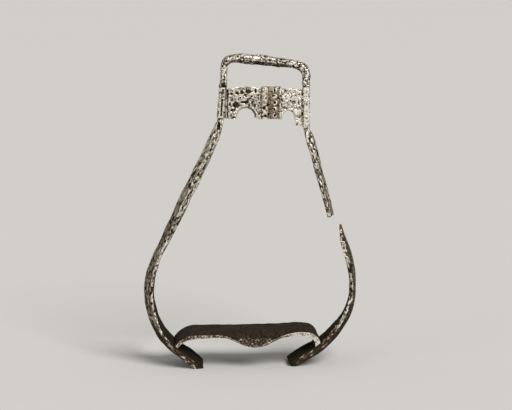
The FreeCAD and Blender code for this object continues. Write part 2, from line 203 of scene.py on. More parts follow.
class BandLook(IronLook, bpy.types.PropertyGroup):
    """Moulded band across the cover."""

    mesh_size: skin_mesh(0.16 * MM)
    softness: rounding(2)
    pit_size: pit_width(1.3 * MM)
    pit_depth: pit_drop(0.16 * MM)
    pit_share: pit_cover(0.25)
    waviness: wave_height(0.12 * MM)
    brightness: plain_tone(0.30)
    contrast: tone_spread(0.50)
    middle: colour("Grey Metal", "Dull cleaned metal", (0.29, 0.235, 0.165))
    patina: colour("Patina", "Olive-brown skin of the grooves", (0.15, 0.115, 0.072))


class StudioLook(bpy.types.PropertyGroup):
    """Floor and light."""

    floor: colour("Floor", "Colour of the pale floor", (0.66, 0.65, 0.63))
    key: power("Key Light", "Strength of the soft light at the front right", 2.6)
    fill: power("Fill Light", "Strength of the soft light at the left", 0.30)
    air: power("Air Light", "Strength of the light from all round", 0.36)
    spread: FloatProperty(
        name="Light Spread", description="How soft the two lights are",
        default=math.radians(32), min=0.0, unit="ROTATION", subtype="ANGLE")


class StirrupLook(bpy.types.PropertyGroup):
    """All the pieces and the studio."""

    bow: PointerProperty(type=BowLook)
    lower_arm: PointerProperty(type=LowerArmLook)
    tread: PointerProperty(type=TreadLook)
    cover: PointerProperty(type=CoverLook)
    band: PointerProperty(type=BandLook)
    studio: PointerProperty(type=StudioLook)


# Meshes and their values


def choose(piece):
    bpy.ops.object.select_all(action="DESELECT")
    piece.select_set(True)
    bpy.context.view_layer.objects.active = piece


def places(mesh):
    """Places of a mesh's vertices, one row each."""
    flat = np.empty(len(mesh.vertices) * 3, np.float32)
    mesh.vertices.foreach_get("co", flat)
    return flat.reshape(-1, 3)


def set_places(mesh, rows):
    mesh.vertices.foreach_set("co", rows.astype(np.float32).ravel())
    mesh.update()


def outward(mesh):
    """Outward normals of a mesh's vertices, one row each."""
    flat = np.empty(len(mesh.vertices) * 3, np.float32)
    mesh.vertex_normals.foreach_get("vector", flat)
    return flat.reshape(-1, 3)


def keep_values(mesh, name, values):
    attribute = mesh.attributes.get(name) or mesh.attributes.new(name, "FLOAT", "POINT")
    attribute.data.foreach_set("value", values.astype(np.float32))


def kept_values(mesh, name):
    values = np.empty(len(mesh.vertices), np.float32)
    mesh.attributes[name].data.foreach_get("value", values)
    return values


def raise_values(mesh, name, values):
    """Keeps the larger of the kept and the new value at each vertex."""
    keep_values(mesh, name, np.maximum(kept_values(mesh, name), values))


def finish_with(piece, kind, **settings):
    """Adds a modifier of that kind to the piece and applies it."""
    bpy.ops.object.modifier_add(type=kind)
    modifier = piece.modifiers[-1]
    for setting, value in settings.items():
        setattr(modifier, setting, value)
    bpy.ops.object.modifier_apply(modifier=modifier.name)


def field(rows, size):
    """Noise about zero at each place, with lumps about as wide as the size."""
    return np.array([noise.noise(place) for place in (rows / size).tolist()])


def smooth_step(values, low, high):
    share_up = np.clip((values - low) / (high - low), 0, 1)
    return share_up * share_up * (3 - 2 * share_up)


def in_front(facing, sharpness):
    """How squarely each place faces the front, from 0 to 1."""
    return np.clip(-facing[:, 1] * sharpness, 0, 1)


# Skins: the solids remeshed, worn and pitted

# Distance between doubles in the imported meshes, and how far a step of smoothing goes
MERGE_DISTANCE = 0.002 * MM
SMOOTHING = 0.5


def skin(node, name, look):
    """A closed even skin round one solid, with its edges a little worn."""
    piece = bpy.data.objects.new(name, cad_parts[node].data.copy())
    bpy.context.scene.collection.objects.link(piece)
    choose(piece)
    bpy.ops.object.mode_set(mode="EDIT")
    bpy.ops.mesh.select_all(action="SELECT")
    bpy.ops.mesh.remove_doubles(threshold=MERGE_DISTANCE)
    bpy.ops.object.mode_set(mode="OBJECT")
    finish_with(piece, "REMESH", mode="VOXEL", voxel_size=look.mesh_size)
    finish_with(piece, "SMOOTH", factor=SMOOTHING, iterations=look.softness)
    bpy.ops.object.shade_smooth()
    return piece


# Height of the slices in which the middle of an arm is found, the height at which the fibres
# end, hidden in the sleeves, and how much noise is drawn out along the arms
FIBRE_STEP = 2 * MM
FIBRE_TOP = 145 * MM
FIBRE_SQUEEZE = 0.5


def fibres(rows):
    """Places drawn out along the arms, so that noise runs in fibres down the bar."""
    x, y, z = rows.T
    middle = np.zeros(len(rows))
    for side in (x < 0, x >= 0):
        levels = np.round(z[side] / FIBRE_STEP).astype(int)
        if len(levels):
            total = np.bincount(levels, x[side])
            count = np.bincount(levels)
            known = np.flatnonzero(count)
            middle[side] = np.interp(z[side] / FIBRE_STEP, known, total[known] / count[known])
    below = np.minimum(z - FIBRE_TOP, 0)
    return np.column_stack((np.where(below < 0, x - middle, x), y, z - below * FIBRE_SQUEEZE))


# Size and weight of small pits as shares of a full pit's, of clusters of pits the same way,
# and the noise below and above a pit's edge between which it reaches its depth
SMALL_PIT = 0.45
CLUSTER_SIZE = 5
CLUSTER_WEIGHT = 0.35
PIT_EDGE = (-0.05, 0.22)


def pitted(rows, look):
    """Depth of the pits at each place, from 0 to 1."""
    small = look.pit_size * SMALL_PIT
    cluster = look.pit_size * CLUSTER_SIZE
    lumps = (
        field(rows, look.pit_size) + SMALL_PIT * field(rows + look.pit_size, small)
        + CLUSTER_WEIGHT * field(rows, cluster))
    edge = np.quantile(lumps, 1 - look.pit_share)
    return smooth_step(lumps, edge + PIT_EDGE[0], edge + PIT_EDGE[1])


# A hollow's edge, and where the rim with a painted highlight round it lies and how wide it
# is, all as shares of its half width
HOLLOW_EDGE = (0.70, 1.15)
RIM_PLACE = 1.30
RIM_WIDTH = 0.35

# Share of the rim that gets the painted highlight, how sharply that ends, and the size of its
# lumps
RIM_SHARE = 0.55
RIM_CONTRAST = 1.4
RIM_LUMP = 0.8 * MM


def dented(rows, facing, spots):
    """Depth in metres, and painted highlights on the rims, of round hollows in the front.

    A spot is its x, z, half width, half height and depth in mm.
    """
    depth, rim = np.zeros(len(rows)), np.zeros(len(rows))
    front = in_front(facing, sharpness=2)
    for x, z, half_width, half_height, deep in spots:
        across = (rows[:, 0] / MM - x) / half_width
        up = (rows[:, 2] / MM - z) / half_height
        away = np.sqrt(across ** 2 + up ** 2)
        depth += front * deep * MM * (1 - smooth_step(away, *HOLLOW_EDGE))
        rim = np.maximum(rim, front * np.clip(1 - np.abs(away - RIM_PLACE) / RIM_WIDTH, 0, 1))
    return depth, rim * np.clip(RIM_SHARE + RIM_CONTRAST * field(rows, RIM_LUMP), 0, 1)


def seamed(rows, facing, seams):
    """How deep each place lies in the grooves down the front, which get painted shade, from 0 to
    1.

    A seam is the x and z of its top, the x and z of its foot and its half width in mm.
    """
    inside = np.zeros(len(rows))
    x, z = rows[:, 0] / MM, rows[:, 2] / MM
    for top_x, top_z, foot_x, foot_z, half_width in seams:
        line = np.interp(z, (foot_z, top_z), (foot_x, top_x))
        along = np.clip(z - foot_z, 0, 1) * np.clip(top_z - z, 0, 1)
        inside = np.maximum(inside, along * (1 - smooth_step(np.abs(x - line), 0, half_width)))
    return inside * in_front(facing, sharpness=3)


def bulge(piece, passes):
    """How far each vertex stands out of the same skin when smoothed, in metres."""
    modifier = piece.modifiers.new("smoothed", "SMOOTH")
    modifier.factor = 1.0
    modifier.iterations = passes
    smoothed = piece.evaluated_get(bpy.context.evaluated_depsgraph_get())
    apart = places(piece.data) - places(smoothed.data)
    piece.modifiers.remove(modifier)
    return (apart * outward(piece.data)).sum(axis=1)


# Reach over which relief is measured, in pit sizes, and how far an edge stands out when it
# gets the full painted highlight, in pit depths
RELIEF_REACH = 0.7
HIGHLIT_BULGE = 0.6


def mark_relief(piece, look):
    """Keeps how far the surface stands out of its surroundings, for painted highlight and shade.
    """
    reach = look.pit_size * RELIEF_REACH
    passes = max(1, round((reach / look.mesh_size) ** 2))
    worn = look.pit_depth * HIGHLIT_BULGE
    keep_values(piece.data, RELIEF, np.clip(bulge(piece, passes) / worn, -1, 1))


def mark_joint_shade(piece, look, neighbours):
    """Keeps how near each vertex is to the solids that the piece touches, for painted shade
    there.
    """
    near = np.zeros(len(piece.data.vertices))
    for node in neighbours:
        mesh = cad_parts[node].data
        corners = [vertex.co for vertex in mesh.vertices]
        faces = [tuple(face.vertices) for face in mesh.polygons]
        tree = BVHTree.FromPolygons(corners, faces)
        for index, place in enumerate(places(piece.data).tolist()):
            distance = tree.find_nearest(place, look.shade_reach)[3]
            if distance is not None:
                near[index] = max(near[index], 1 - distance / look.shade_reach)
    keep_values(piece.data, JOINT_SHADE, near)


# Width of a wave in pit sizes, how sharply it rises, and how far the waves lie under the solid
WAVE_SIZE = 3.5
WAVE_RISE = 2
WAVE_SINK = 0.3

# Depth at which a hollow is as dark as a pit, how much darker than a pit a place may get, and
# the depth of a seam
DARK_DEPTH = 0.19 * MM
DARKEST = 1.5
SEAM_DEPTH = 0.22 * MM


def corrode(piece, look, node, spots=(), seams=(), neighbours=(), drawn_out=False):
    """Gives the skin its waves, hollows, seams and pits, inside the solid's own box."""
    mesh = piece.data
    rows, facing = places(mesh), outward(mesh)
    drawn = fibres(rows) if drawn_out else rows
    waves = np.clip(WAVE_RISE * field(drawn, look.pit_size * WAVE_SIZE), -1, 1) - WAVE_SINK
    hollows, rims = dented(rows, facing, spots)
    pits = pitted(drawn, look)
    lines = seamed(rows, facing, seams)
    height = waves * look.waviness / 2 - hollows - pits * look.pit_depth - lines * SEAM_DEPTH
    low_corner, high_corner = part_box(node)
    set_places(mesh, np.clip(rows + facing * height[:, None], low_corner, high_corner))
    mark_relief(piece, look)
    # Painted highlights on the rims of the hollows
    raise_values(mesh, RELIEF, rims)
    keep_values(mesh, SUNK, np.clip(pits + hollows / DARK_DEPTH, 0, DARKEST))
    fibre = mesh.attributes.new(FIBRE, "FLOAT_VECTOR", "POINT")
    fibre.data.foreach_set("vector", drawn.astype(np.float32).ravel())
    # Painted shade next to the touching pieces and in the seams
    mark_joint_shade(piece, look, neighbours)
    raise_values(mesh, JOINT_SHADE, lines)


# Edges of the tread's hatched lobe, and the width over which the hatching fades out at the
# sides and at its front
HATCH_LEFT = -8.0 * MM
HATCH_RIGHT = 13.0 * MM
HATCH_TOP = 17.6 * MM
HATCH_FOOT = 11.4 * MM
HATCH_FRONT = -10.8 * MM
HATCH_FADE = 1.0 * MM
HATCH_FRONT_FADE = 0.5 * MM

# How much the two sets of lines lean, how far they wander and wear, and over what length
STEEP_LEAN = 0.8
SLANT_LEAN = -1.1
WANDER = 1.0
WANDER_SIZE = 3.0 * MM
WEAR = 0.35
WEAR_SIZE = 1.6 * MM

# Start and slope by which the lines' waves become grooves and crests
GROOVES = (0.6, -0.9)
CRESTS = (-1.5, 2.5)

# How dark the ground between the lines is and how bright the painted highlight on their crests is
HATCH_DARK = 0.4
HATCH_HIGHLIGHT = 0.9


def hatch(piece, look):
    """Cuts crossing slanted lines into the curled front of the tread."""
    mesh = piece.data
    rows, facing = places(mesh), outward(mesh)
    x, y, z = rows.T
    inside = in_front(facing, sharpness=2)
    inside = inside * np.clip((HATCH_FRONT - y) / HATCH_FRONT_FADE, 0, 1)
    for past in (x - HATCH_LEFT, HATCH_RIGHT - x, HATCH_TOP - z, z - HATCH_FOOT):
        inside = inside * np.clip(past / HATCH_FADE, 0, 1)
    turn = math.tau / look.hatch_pitch
    wander = WANDER * field(rows, WANDER_SIZE)
    wear = WEAR * field(rows, WEAR_SIZE)
    steep = np.sin((x + STEEP_LEAN * z) * turn + wander) + wear
    slant = np.sin((x + SLANT_LEAN * z) * turn - wander) - wear
    lines = np.maximum(steep, slant)
    groove = np.clip(GROOVES[0] + GROOVES[1] * lines, 0, 1) * inside
    crest = np.clip(CRESTS[0] + CRESTS[1] * lines, 0, 1) * inside
    set_places(mesh, rows - facing * (groove * look.hatch_depth)[:, None])
    raise_values(mesh, SUNK, HATCH_DARK * groove)
    # Painted highlight on the crests of the hatching
    raise_values(mesh, RELIEF, HATCH_HIGHLIGHT * crest)
    keep_values(mesh, HATCHED, inside)


def seat(piece, slot, *nodes):
    """Puts the piece in the place of its solids."""
    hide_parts(*nodes)
    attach(piece, BODY)


# Shader nodes

# Sockets of a colour Mix node
MIX_MASK, MIX_FIRST, MIX_SECOND, MIXED = 0, 6, 7, 2

# Widest swing of a noise about zero
NOISE_SWING = 2.0


class Shader:
    """Adds nodes to a tree and joins them."""

    def __init__(self, tree):
        self.tree = tree

    def add(self, kind, inputs=None, **settings):
        made = self.tree.nodes.new("ShaderNode" + kind)
        for setting, value in settings.items():
            setattr(made, setting, value)
        for key, value in (inputs or {}).items():
            self.give(made.inputs[key], value)
        return made

    def give(self, socket, value):
        if isinstance(value, bpy.types.NodeSocket):
            self.tree.links.new(value, socket)
        else:
            socket.default_value = value

    def math(self, operation, *values):
        return self.add("Math", dict(enumerate(values)), operation=operation).outputs[0]

    def times(self, first, second):
        return self.math("MULTIPLY", first, second)

    def total(self, start, *terms):
        """Start plus each value times its weight."""
        for value, weight in terms:
            start = self.math("MULTIPLY_ADD", value, weight, start)
        return start

    def step(self, value, low, high):
        """Smooth step from 0 at low to 1 at high; high may be the smaller one."""
        return self.add(
            "MapRange", {"Value": value, "From Min": low, "From Max": high},
            interpolation_type="SMOOTHSTEP").outputs[0]

    def noise(self, place, frequency, detail, roughness, twist=0.0):
        """Noise about zero, mostly between -1 and 1; the frequency is in lumps per metre."""
        fac = self.add("TexNoise", {
            "Vector": place, "Scale": frequency, "Detail": detail,
            "Roughness": roughness, "Distortion": twist}).outputs["Fac"]
        return self.math("MULTIPLY_ADD", fac, 2 * NOISE_SWING, -NOISE_SWING)

    def blend(self, mask, first, second):
        """Colour mixed from the first to the second by a mask."""
        inputs = {MIX_MASK: mask, MIX_FIRST: first, MIX_SECOND: second}
        return self.add("Mix", inputs, data_type="RGBA").outputs[MIXED]

    def group(self, name, inputs):
        return self.add("Group", inputs, node_tree=bpy.data.node_groups[name]).outputs


def new_group(name, inputs, outputs):
    """An empty node group, its shader helper and its two end nodes."""
    tree = bpy.data.node_groups.new(name, "ShaderNodeTree")
    for label, kind, default in inputs:
        socket = tree.interface.new_socket(label, in_out="INPUT", socket_type="NodeSocket" + kind)
        if default is not None:
            socket.default_value = default
    for label, kind in outputs:
        tree.interface.new_socket(label, in_out="OUTPUT", socket_type="NodeSocket" + kind)
    given = tree.nodes.new("NodeGroupInput").outputs
    result = tree.nodes.new("NodeGroupOutput").inputs
    return Shader(tree), given, result


# Parts of the outward normal between which a place counts as facing each way
FACES_FRONT = (0.35, 0.80)
FACES_SIDE = (0.25, 0.65)
FACES_UP = (0.10, 0.40)
FACES_DOWN = (-0.15, -0.60)
FACES_INWARD = (0.15, 0.50)


def build_facing():
    """Masks of which way the surface faces, from its own normal and place."""
    shader, given, result = new_group(
        "facing", (("Normal", "Vector", None), ("Place", "Vector", None)),
        (("Front", "Float"), ("Side", "Float"), ("Up", "Float"), ("Down", "Float"),
         ("Inward", "Float"), ("Rise", "Float")))
    normal = shader.add("SeparateXYZ", {"Vector": given["Normal"]}).outputs
    place = shader.add("SeparateXYZ", {"Vector": given["Place"]}).outputs
    outwards = shader.times(normal["X"], shader.math("SIGN", place["X"]))
    inwards = shader.times(outwards, -1.0)
    front = shader.math("ABSOLUTE", normal["Y"])
    side = shader.math("ABSOLUTE", normal["X"])
    shader.give(result["Front"], shader.step(front, *FACES_FRONT))
    shader.give(result["Side"], shader.step(side, *FACES_SIDE))
    shader.give(result["Up"], shader.step(normal["Z"], *FACES_UP))
    shader.give(result["Down"], shader.step(normal["Z"], *FACES_DOWN))
    shader.give(result["Inward"], shader.step(inwards, *FACES_INWARD))
    shader.give(result["Rise"], normal["Z"])


# Lumps per metre in the grain of the iron, in its paler patches and in its fine veins, and
# how thin the veins are
GRAIN = 900.0
PATCHES = 210.0
VEINS = 560.0
VEIN_THINNESS = 3.0

# Place where a stain fades out, as shares of its radius, and how ragged its edge is
STAIN_EDGE = (1.1, 0.5)
STAIN_RAGGED = 0.5


def build_stain():
    """Ragged round patch about a point."""
    shader, given, result = new_group(
        "stain",
        (("Place", "Vector", None), ("Centre", "Vector", None), ("Radius", "Float", 4 * MM)),
        (("Mask", "Float"),))
    away = shader.add(
        "VectorMath", {0: given["Place"], 1: given["Centre"]}, operation="DISTANCE")
    reach = shader.math("DIVIDE", away.outputs["Value"], given["Radius"])
    ragged = shader.noise(given["Place"], GRAIN, detail=3.0, roughness=0.6)
    edge = shader.total(reach, (ragged, STAIN_RAGGED))
    shader.give(result["Mask"], shader.step(edge, *STAIN_EDGE))


# Tones between which the iron's colours pass into each other, and between which it is bare
HOLLOW_TO_PATINA = (0.0, 0.26)
PATINA_TO_GREY = (0.22, 0.50)
GREY_TO_BRIGHT = (0.40, 1.05)
BARE_METAL = (0.25, 0.60)

# Unevenness between which rust covers the patina
RUST_PATCHES = (-0.5, 0.5)

# Roughness of the dull skin, and how metallic bare iron is
DULL_ROUGHNESS = 0.88
BARE_METALLIC = 0.90


def build_iron():
    """Old cleaned iron: pit black, patina, grey and bright metal by one tone from 0 to 1."""
    shader, given, result = new_group(
        "iron",
        (("Place", "Vector", None), ("Bright", "Color", None), ("Middle", "Color", None),
         ("Patina", "Color", None), ("Hollow", "Color", None), ("Rust", "Color", None),
         ("Level", "Float", 0.5), ("Contrast", "Float", 1.0), ("Relief", "Float", 0.0),
         ("Sunk", "Float", 0.0), ("Joint Shade", "Float", 0.0), ("Rusting", "Float", 0.0)),
        (("Color", "Color"), ("Roughness", "Float"), ("Metallic", "Float"),
         ("Height", "Float")))
    place = given["Place"]
    grain = shader.noise(place, GRAIN, detail=4.0, roughness=0.66, twist=0.4)
    patches = shader.noise(place, PATCHES, detail=2.0, roughness=0.55)
    wander = shader.noise(place, VEINS, detail=2.0, roughness=0.55, twist=0.5)
    from_zero = shader.math("ABSOLUTE", wander)
    veins = shader.math("MAXIMUM", shader.total(1.0, (from_zero, -VEIN_THINNESS)), 0.0)
    uneven = shader.total(-0.12, (grain, 0.62), (patches, 0.26), (veins, 0.42))
    edge_highlight = shader.math("MAXIMUM", given["Relief"], 0.0)
    crevice_shade = shader.math("MINIMUM", given["Relief"], 0.0)
    calm = shader.total(1.0, (given["Sunk"], -0.40))
    contrast = shader.times(given["Contrast"], calm)
    # Edges that stand out get a painted highlight; crevices and places near other pieces get
    # painted shade
    tone = shader.total(
        given["Level"], (shader.times(uneven, contrast), 1.0), (edge_highlight, 0.34),
        (crevice_shade, 0.30), (given["Sunk"], -0.50), (given["Joint Shade"], -0.70),
        (given["Rusting"], -0.20))
    shine = shader.step(tone, *GREY_TO_BRIGHT)
    bare = shader.step(tone, *BARE_METAL)
    skinned = shader.blend(
        shader.step(tone, *HOLLOW_TO_PATINA), given["Hollow"], given["Patina"])
    cleaned = shader.blend(shader.step(tone, *PATINA_TO_GREY), skinned, given["Middle"])
    rust = shader.blend(shader.step(uneven, *RUST_PATCHES), given["Patina"], given["Rust"])
    rusted = shader.blend(given["Rusting"], cleaned, rust)
    shader.give(result["Color"], shader.blend(shine, rusted, given["Bright"]))
    shader.give(
        result["Roughness"], shader.total(DULL_ROUGHNESS, (bare, -0.36), (shine, -0.16)))
    shader.give(result["Metallic"], shader.times(bare, BARE_METALLIC))
    shader.give(result["Height"], shader.total(uneven, (given["Sunk"], -0.5)))


def build_groups():
    if "iron" not in bpy.data.node_groups:
        build_facing()
        build_stain()
        build_iron()


def solid(values):
    """Colour socket value of a colour property."""
    return (*values, 1.0)


# Materials

# How much the bare skin between the bright metal reflects
SHEEN = 0.08


class IronMaterial:
    """A material with the nodes that all the iron pieces share."""

    def __init__(self, name):
        build_groups()
        self.material = bpy.data.materials.new(name)
        self.material.use_nodes = True
        self.material.node_tree.nodes.clear()
        self.shader = Shader(self.material.node_tree)
        coordinates = self.shader.add("TexCoord").outputs
        self.place = coordinates["Object"]
        self.relief = self.carried(RELIEF)["Fac"]
        self.sunk = self.carried(SUNK)["Fac"]
        self.joint_shade = self.carried(JOINT_SHADE)["Fac"]
        self.fibre = self.carried(FIBRE)["Vector"]
        self.parts = self.shader.add("SeparateXYZ", {"Vector": self.place}).outputs
        self.facing = self.shader.group(
            "facing", {"Normal": coordinates["Normal"], "Place": self.place})

    def carried(self, attribute):
        return self.shader.add("Attribute", attribute_name=attribute).outputs

    def stains(self, spots):
        """One mask of all the stains: x, y, z and radius in mm."""
        mask = 0.0
        for x, y, z, radius in spots:
            stain = self.shader.group("stain", {
                "Place": self.place, "Centre": (x * MM, y * MM, z * MM),
                "Radius": radius * MM})["Mask"]
            mask = self.shader.math("MAXIMUM", mask, stain)
        return mask

    def finish(self, look, level, contrast, rusting, relief=None):
        """Joins the shared iron group to the surface."""
        shader = self.shader
        iron = shader.group("iron", {
            "Place": self.fibre, "Bright": solid(look.bright), "Middle": solid(look.middle),
            "Patina": solid(look.patina), "Hollow": solid(look.hollow),
            "Rust": solid(look.rust), "Level": level, "Contrast": contrast,
            "Relief": self.relief if relief is None else relief, "Sunk": self.sunk,
            "Joint Shade": self.joint_shade, "Rusting": rusting})
        normal = shader.add("Bump", {
            "Height": iron["Height"], "Distance": look.grain_height, "Strength": 1.0})
        surface = shader.add("BsdfPrincipled", {
            "Base Color": iron["Color"], "Roughness": iron["Roughness"],
            "Metallic": iron["Metallic"], "Specular IOR Level": SHEEN,
            "Normal": normal.outputs[0]})
        output = shader.add("OutputMaterial")
        shader.give(output.inputs["Surface"], surface.outputs[0])
        return self.material


# Heights between which the look of an arm changes on its way down
FOOT = (30 * MM, 12 * MM)
LOW_END = (62 * MM, 38 * MM)
LOWER_HALF = (112 * MM, 70 * MM)

# Places across the stirrup between which its right arm and its right half begin
RIGHT_ARM = (24 * MM, 30 * MM)
RIGHT_HALF = (-5 * MM, 5 * MM)


def forged_material(name, look, rust_spots):
    """Forging: bright pitted upper half, duller sides below, dark feet, painted shade on the
    undersides and on the inner faces under the tread.
    """
    made = IronMaterial(name)
    shader, facing = made.shader, made.facing
    across, height = made.parts["X"], made.parts["Z"]
    feet = shader.step(height, *FOOT)
    right_foot = shader.times(feet, shader.step(across, *RIGHT_HALF))
    # Inner faces low down, under the tread, get painted shade
    inner = shader.times(facing["Inward"], shader.step(height, *LOW_END))
    low_side = shader.times(facing["Side"], shader.step(height, *LOWER_HALF))
    right = shader.step(across, *RIGHT_ARM)
    right_front = shader.times(right, facing["Front"])
    # Downward faces get painted shade
    level = shader.total(
        look.brightness, (low_side, -0.20), (facing["Down"], -0.40), (feet, -0.42),
        (inner, -0.90), (right, -0.03), (right_foot, -0.10))
    contrast = shader.total(
        look.contrast, (facing["Side"], -0.15), (low_side, -0.30), (facing["Up"], -0.15),
        (inner, -0.4), (feet, 0.55), (right_foot, -0.35), (right_front, 0.50))
    brown = shader.times(feet, shader.total(0.22, (inner, -0.22)))
    rusting = shader.math("MAXIMUM", made.stains(rust_spots), brown)
    return made.finish(look, level, contrast, rusting)


# Places across the tread between which its two ends begin, how far a place may be turned up
# and still belong to the rim with the painted highlight, and how much its relief counts there
TREAD_RIGHT_END = (14 * MM, 22 * MM)
TREAD_LEFT_END = (-8 * MM, -20 * MM)
RIM_TURN = (0.06, -0.18)
RIM_RELIEF = 1.5


def tread_material(look):
    """Smooth dark top, painted highlight along the front edge, stronger at the right end, brown
    ground between the hatched lines.
    """
    made = IronMaterial("tread_iron")
    shader, facing, across = made.shader, made.facing, made.parts["X"]
    right_end = shader.step(across, *TREAD_RIGHT_END)
    left_end = shader.step(across, *TREAD_LEFT_END)
    turned_up = shader.total(facing["Rise"], (right_end, -0.30))
    rim = shader.times(facing["Front"], shader.step(turned_up, *RIM_TURN))
    hatched = made.carried(HATCHED)["Fac"]
    edge = shader.math("MAXIMUM", rim, hatched)
    # Painted highlight on the rim, stronger at the right end and weaker at the left
    rim_highlight = shader.total(0.37, (right_end, 0.20), (left_end, -0.12), (hatched, -0.42))
    uneven = shader.total(0.75, (right_end, 0.15), (left_end, 0.55), (hatched, -0.25))
    level = shader.total(look.brightness, (rim_highlight, edge))
    contrast = shader.total(look.contrast, (edge, uneven))
    brown = shader.total(0.0, (left_end, 0.32), (hatched, 0.16))
    rusting = shader.times(brown, edge)
    # Relief counts only on the rim and the hatched lobe, for their painted highlight and shade
    relief = shader.times(made.relief, shader.times(edge, RIM_RELIEF))
    return made.finish(look, level, contrast, rusting, relief)


# Places across and through the cover between which its right half, its back and the outer
# sides of its sleeves begin
COVER_RIGHT = (10 * MM, 20 * MM)
COVER_BACK = (-0.5 * MM, 1.5 * MM)
LEFT_SLEEVE = (-12.4 * MM, -12.9 * MM)
RIGHT_SLEEVE = (28.2 * MM, 28.8 * MM)

# Painted highlights on the rims of the two arches, and rust at the left: x, y, z and radius in mm
ARCH_HIGHLIGHTS = ((-2.8, -2.0, 138.7, 7.2), (21.1, -2.0, 139.0, 5.6))
COVER_RUST = ((-10.7, -2.2, 148.2, 2.2), (-6.4, -2.2, 145.0, 1.8))


def cover_material(look):
    """Sheet: bright between large dark pits, brighter at its right, rust at its left, painted
    highlights on the arch rims and the right sleeve, painted shade at its back.
    """
    made = IronMaterial("sheet_iron")
    shader, across = made.shader, made.parts["X"]
    right = shader.step(across, *COVER_RIGHT)
    # The back is made darker: painted shade
    back = shader.step(made.parts["Y"], *COVER_BACK)
    left_sleeve = shader.step(across, *LEFT_SLEEVE)
    # The right sleeve is made brighter: a painted highlight
    lit_right_sleeve = shader.step(across, *RIGHT_SLEEVE)
    # Painted highlights round the two arches
    rims = made.stains(ARCH_HIGHLIGHTS)
    level = shader.total(
        look.brightness, (right, 0.18), (back, -0.20), (left_sleeve, -0.04),
        (lit_right_sleeve, 0.12), (rims, 0.26))
    contrast = shader.total(look.contrast, (right, 0.80), (back, -0.40))
    rusting = shader.times(made.stains(COVER_RUST), 0.45)
    return made.finish(look, level, contrast, rusting)


# Depth between which the band's ridges stand out, and the places across it between which its
# beads and its thin rib begin
BAND_RIDGES = (-3.05 * MM, -3.35 * MM)
BEADED_SIDE = (10.8 * MM, 11.6 * MM)
THIN_RIB = (14.9 * MM, 15.5 * MM)


def band_material(look):
    """Moulding: bright ridges and beads, olive-brown grooves, a rust-brown rib."""
    made = IronMaterial("band_iron")
    shader, across = made.shader, made.parts["X"]
    ridge = shader.step(made.parts["Y"], *BAND_RIDGES)
    beaded = shader.step(across, *BEADED_SIDE)
    rib = shader.step(across, *THIN_RIB)
    level = shader.total(look.brightness, (ridge, 0.28), (beaded, 0.08))
    contrast = shader.total(look.contrast, (ridge, 0.40), (beaded, 0.15))
    rusting = shader.times(rib, 0.6)
    return made.finish(look, level, contrast, rusting)


def paint(piece, material):
    piece.data.materials.clear()
    piece.data.materials.append(material)


# Pieces

# Hollows in the fronts: x, z, half width, half height and depth in mm
# In the arms' table, the last two hollows darken the notch in the loop's left leg: painted shade
ARM_DENTS = (
    (-17.4, 134.2, 1.0, 2.3, 0.6), (-54.6, 44.7, 0.8, 1.5, 0.5), (-14.7, 156.5, 1.2, 1.4, 0.14),
    (-14.5, 158.3, 0.6, 1.2, 0.10))
COVER_DENTS = (
    (-8.0, 145.5, 1.9, 1.7, 0.24), (-3.3, 147.0, 2.5, 0.8, 0.22), (-4.8, 152.4, 0.9, 1.2, 0.22),
    (-1.2, 152.8, 1.8, 1.1, 0.22), (-7.3, 152.0, 1.1, 1.0, 0.20), (-9.7, 142.6, 1.4, 0.8, 0.20),
    (-11.4, 145.9, 0.6, 1.2, 0.20), (2.3, 145.0, 0.6, 1.0, 0.20), (2.6, 153.2, 0.7, 1.2, 0.20),
    (-10.6, 151.6, 0.8, 0.9, 0.18), (0.6, 150.3, 0.8, 0.5, 0.18), (-5.6, 149.3, 0.5, 0.6, 0.18),
    (19.0, 151.6, 0.5, 0.6, 0.14), (23.4, 151.8, 0.7, 0.5, 0.14), (22.2, 147.6, 0.8, 0.4, 0.14),
    (26.3, 145.9, 0.5, 0.7, 0.14), (18.4, 146.6, 0.4, 0.8, 0.12), (25.9, 138.7, 0.5, 0.9, 0.14))
BAND_DENTS = (
    (7.2, 143.9, 1.0, 1.0, 0.35), (5.7, 141.2, 0.8, 0.8, 0.30), (7.7, 139.6, 0.9, 0.8, 0.35),
    (12.8, 153.5, 0.6, 1.3, 0.5), (12.6, 150.6, 1.1, 0.5, 0.4), (13.0, 147.0, 1.0, 0.8, 0.5),
    (12.7, 143.2, 0.7, 1.0, 0.4), (13.0, 139.7, 0.8, 1.0, 0.5))

# Grooves between the sheet and its sleeves, darkened with painted shade: x and z of the top,
# of the foot, half width in mm
COVER_SEAMS = ((-12.45, 156.0, -12.66, 137.0, 0.65), (28.05, 156.0, 28.59, 132.0, 0.70))

# Rust in the left arm's hollow and at the broken tip: x, y, z and radius in mm
BOW_RUST = ((-54.6, -8.0, 44.7, 1.6),)
BROKEN_TIP_RUST = ((50.0, -2.0, 77.5, 3.0), (50.6, -4.0, 73.0, 2.0))


class STIRRUP_OT_bow(bpy.types.Operator):
    """Forge the strap loop, the left arm and the stub of the right arm"""

    bl_idname = "stirrup.bow"
    bl_label = "Bow"
    bl_options = {"REGISTER", "UNDO"}

    def execute(self, context):
        look = context.scene.stirrup.bow
        piece = skin("bow", "bow_forging", look)
        corrode(
            piece, look, "bow", ARM_DENTS, neighbours=("front_cover_plate", "tread_plate"),
            drawn_out=True)
        paint(piece, forged_material("forged_iron", look, BOW_RUST))
        seat(piece, "forged_iron", "bow")
        return {"FINISHED"}


